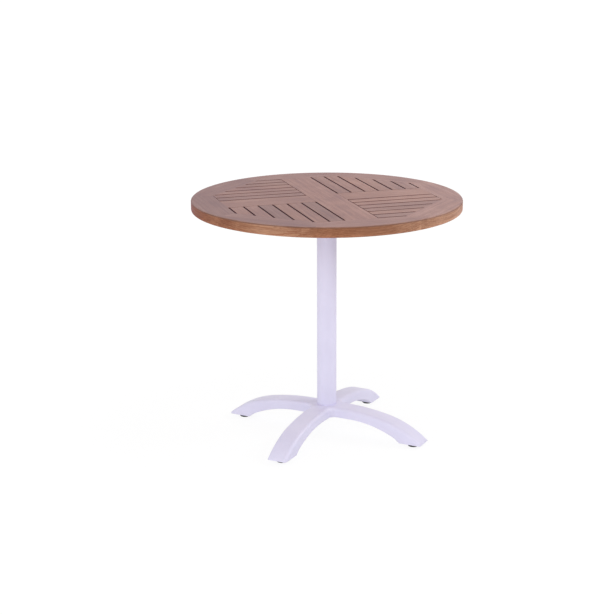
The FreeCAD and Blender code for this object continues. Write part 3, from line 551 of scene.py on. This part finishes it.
# %% Head of a screw
HEAD_RADIUS = 0.005
HEAD_SIDES = 32         # enough to look round
CROSS_HALF = 0.0006     # half the width of one slot of the cross
CROSS_REACH = 0.0026    # middle of the head to the end of a slot
CROSS_DEPTH = 0.0017
CROSS_TAPER = 0.6       # the recess is this much smaller at its floor


def whole(bm):
    """All of a bmesh, as its operators take it."""
    return bm.verts[:] + bm.edges[:] + bm.faces[:]


def only(kind, geom):
    """The parts of one kind in what an operator gave back."""
    return [part for part in geom if isinstance(part, kind)]


screws = bmesh.new()
bmesh.ops.create_circle(screws, cap_ends=True, segments=HEAD_SIDES, radius=HEAD_RADIUS)
for line in (Vector((1, 0, 0)), Vector((0, 1, 0))):
    for off in (-CROSS_REACH, -CROSS_HALF, CROSS_HALF, CROSS_REACH):
        bmesh.ops.bisect_plane(screws, geom=whole(screws), plane_co=line * off, plane_no=line)
middles = {face: sorted(abs(c) for c in face.calc_center_median()[:2]) for face in screws.faces}
cross = [face for face, (small, large) in middles.items()
         if small < CROSS_HALF and large < CROSS_REACH]
pushed = only(bmesh.types.BMVert, bmesh.ops.extrude_face_region(screws, geom=cross)["geom"])
bmesh.ops.delete(screws, geom=cross, context="FACES")
bmesh.ops.scale(screws, vec=(CROSS_TAPER, CROSS_TAPER, 1), verts=pushed)
bmesh.ops.translate(screws, vec=(0, 0, CROSS_DEPTH), verts=pushed)
print("head with", len(screws.faces), "faces")

# %% [markdown]
# A fastener that we model stands for a plain CAD solid. One function finishes each of them: it
# merges doubles, turns the faces outwards, keeps only the sharp edges sharp and gives it zinc. Then
# it hangs the piece on its body and hides the CAD node that it stands for.

# %% A fastener for a CAD node
MERGE = 1e-6        # points nearer than a thousandth of a millimetre are one
SHARP_ANGLE = 35    # degrees


def fastener(name, bm, body, stood_for):
    """Makes a zinc-plated piece of a bmesh, on a body and in place of a CAD node."""
    bmesh.ops.remove_doubles(bm, verts=bm.verts, dist=MERGE)
    bmesh.ops.recalc_face_normals(bm, faces=bm.faces)
    open_edges = sum(not edge.is_manifold for edge in bm.edges)
    mesh = bpy.data.meshes.new(name)
    bm.to_mesh(mesh)
    bm.free()
    mesh.shade_smooth()
    mesh.set_sharp_from_angle(angle=math.radians(SHARP_ANGLE))
    mesh.materials.append(zinc)
    piece = bpy.data.objects.new(name, mesh)
    scene.collection.objects.link(piece)
    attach(piece, body)
    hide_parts(stood_for)
    print(name, "for", stood_for, "with", len(mesh.polygons), "faces and", open_edges, "open edges")


print("edges of more than", SHARP_ANGLE, "degrees stay sharp")

# %% [markdown]
# Now the screw itself. The rim of its head is drawn up twice: narrower into the cone that fills the
# countersink, and straight into the shank, whose end is filled. One screw is made, and the other
# seven are copies, so that all eight are one piece, as in the CAD model.

# %% Cross-head screws
SHANK_RADIUS = 0.0024
CONE_HEIGHT, SHANK_LENGTH = 0.0036, 0.0184
SCREW_REACH = 0.115    # middle of the bracket to a row of screws
SCREW_SIDE = 0.024     # screw to the middle line of its arm
rim = [edge for edge in screws.edges if edge.is_boundary]
for rise, shrink in ((CONE_HEIGHT, SHANK_RADIUS / HEAD_RADIUS), (SHANK_LENGTH, 1.0)):
    grown = bmesh.ops.extrude_edge_only(screws, edges=rim)["geom"]
    rim_verts = only(bmesh.types.BMVert, grown)
    rim = [edge for edge in only(bmesh.types.BMEdge, grown) if edge.is_boundary]
    bmesh.ops.scale(screws, vec=(shrink, shrink, 1), verts=rim_verts)
    bmesh.ops.translate(screws, vec=(0, 0, rise), verts=rim_verts)
bmesh.ops.edgeloop_fill(screws, edges=rim)
one_screw = whole(screws)
spots = [spot for a in (-1, 1) for b in (-1, 1)
         for spot in ((a * SCREW_SIDE, b * SCREW_REACH), (b * SCREW_REACH, a * SCREW_SIDE))]
for spot in spots[1:]:
    copied = bmesh.ops.duplicate(screws, geom=one_screw)["geom"]
    bmesh.ops.translate(screws, vec=(*spot, 0), verts=only(bmesh.types.BMVert, copied))
bmesh.ops.translate(screws, vec=(*spots[0], 0), verts=only(bmesh.types.BMVert, one_screw))
bmesh.ops.translate(screws, vec=(0, 0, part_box("bracket_screws")[0].z), verts=screws.verts)
fastener("cross_head_screws", screws, "top", "bracket_screws")

# %% [markdown]
# The levelling studs and the tie rod are threaded. A thread is a zigzag line that climbs by one pitch
# while it goes once round. A Screw modifier can do that, and so can spin, which keeps the whole rod in
# one bmesh. Its last turn then meets its first, one tooth higher, so merging closes the seam, and two
# flat cuts and two caps make the ends.

# %% Thread
ROUND_STEPS = 24
THREAD_DEPTH = 0.55    # of a pitch
TOOTH = ((0.0, False), (0.2, False), (0.44, True), (0.76, True))    # share of a pitch, on the crest?
TEETH_BELOW, TEETH_ABOVE = 2, 1    # spare teeth for the cuts to take away


def threaded(radius, pitch, length):
    """A threaded rod along Z from 0 to length, as a bmesh."""
    core = radius - THREAD_DEPTH * pitch
    turns = range(-TEETH_BELOW, math.ceil(length / pitch) + TEETH_ABOVE)
    bm = bmesh.new()
    line = [bm.verts.new((radius if crest else core, 0, (turn + rise) * pitch))
            for turn in turns for rise, crest in TOOTH]
    edges = [bm.edges.new(pair) for pair in zip(line, line[1:])]
    bmesh.ops.spin(bm, geom=line + edges, axis=(0, 0, 1), cent=(0, 0, 0), angle=math.tau,
                   dvec=(0, 0, pitch / ROUND_STEPS), steps=ROUND_STEPS, use_merge=False,
                   use_duplicate=False)
    bmesh.ops.remove_doubles(bm, verts=bm.verts, dist=MERGE)
    for height, way in ((0.0, -1), (length, 1)):
        bmesh.ops.bisect_plane(bm, geom=whole(bm), plane_co=(0, 0, height), plane_no=(0, 0, way),
                               clear_outer=True)
    bmesh.ops.holes_fill(bm, edges=[edge for edge in bm.edges if edge.is_boundary])
    return bm


print("a thread has", ROUND_STEPS, "steps to a turn")

# %% [markdown]
# Each foot has a stud with the coarse thread of its size, and turning it levels the table. The stud
# takes its place and size from the CAD solid that it stands for, so it can't miss its hole.

# %% Levelling studs
STUD_PITCH = 0.00125    # coarse thread of 8 mm
FEET = range(1, 5)
for k in FEET:
    low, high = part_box("foot_stud_%d" % k)
    stud = threaded((high.x - low.x) / 2, STUD_PITCH, high.z - low.z)
    place = ((low.x + high.x) / 2, (low.y + high.y) / 2, low.z)
    bmesh.ops.translate(stud, vec=place, verts=stud.verts)
    fastener("threaded_stud_%d" % k, stud, "foot_%d" % k, "foot_stud_%d" % k)

# %% [markdown]
# The tie rod pulls head, tube and base together. Only its lower end shows, under the hub, so the
# thread ends a little way up, and a plain bar that laps it by a hair goes on inside the column.

# %% Tie rod
ROD_PITCH = 0.00175    # coarse thread of 12 mm
ROD_THREAD = 0.06      # length of the thread
ROD_LAP = 0.0004
low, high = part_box("tie_rod")
rod = threaded(high.x, ROD_PITCH, ROD_THREAD)
plain = high.z - low.z - ROD_THREAD + ROD_LAP
above = Matrix.Translation((0, 0, ROD_THREAD - ROD_LAP + plain / 2))
bmesh.ops.create_cone(rod, cap_ends=True, segments=ROUND_STEPS, radius1=high.x, radius2=high.x,
                      depth=plain, matrix=above)
bmesh.ops.translate(rod, vec=(0, 0, low.z), verts=rod.verts)
fastener("threaded_tie_rod", rod, "pedestal", "tie_rod")

# %% [markdown]
# The foot pads and the clamp lever are moulded nylon, black right through. A plain black would look
# like a hole. But the mould was spark eroded, so the skin has a fine grain and a dull shine, and one
# noise gives both. The stop buffer is rubber: darker still, and nearly without shine. Both keep the
# default IOR, which suits them.

# %% Black nylon and rubber
MOULD_EDGE = 0.0008    # a mould has no sharp corner
MOULD_STOPS = (0.3, 0.75)    # part of the noise between the dark and the pale tone
MOULD_RELIEF = 0.3
MOULD_HEIGHT = 0.0003


def moulded(name, tones, roughness, grit):
    """A moulded black skin with a grain of this size in metres."""
    material, tree = finish_named(name)
    place = node(tree, "TexCoord").outputs["Object"]
    grain = node(tree, "TexNoise", {"Vector": place, "Scale": 1 / grit, "Detail": 2.0}).outputs["Fac"]
    colour = node(tree, "ValToRGB", {"Fac": grain}, stops=[
        (at, linear(tone)) for at, tone in zip(MOULD_STOPS, tones)])
    rough = node(tree, "MapRange", {"Value": grain, "To Min": roughness[0], "To Max": roughness[1]})
    edge = node(tree, "Bevel", {"Radius": MOULD_EDGE}, samples=EDGE_SAMPLES)
    relief = node(tree, "Bump", {"Height": grain, "Strength": MOULD_RELIEF, "Distance": MOULD_HEIGHT,
                                 "Normal": edge.outputs[0]})
    shader = node(tree, "BsdfPrincipled", {"Base Color": colour.outputs["Color"],
                                           "Roughness": rough.outputs[0], "Normal": relief.outputs[0]})
    node(tree, "OutputMaterial", {"Surface": shader.outputs[0]})
    return material


dress(["clamp_lever"] + ["foot_pad_%d" % k for k in FEET],
      moulded("moulded_black_nylon", tones=("18181A", "2A2A2D"), roughness=(0.45, 0.62), grit=0.0011))
dress(["stop_buffer"],
      moulded("moulded_black_rubber", tones=("121212", "1E1E1E"), roughness=(0.75, 0.95), grit=0.0016))

# %% [markdown]
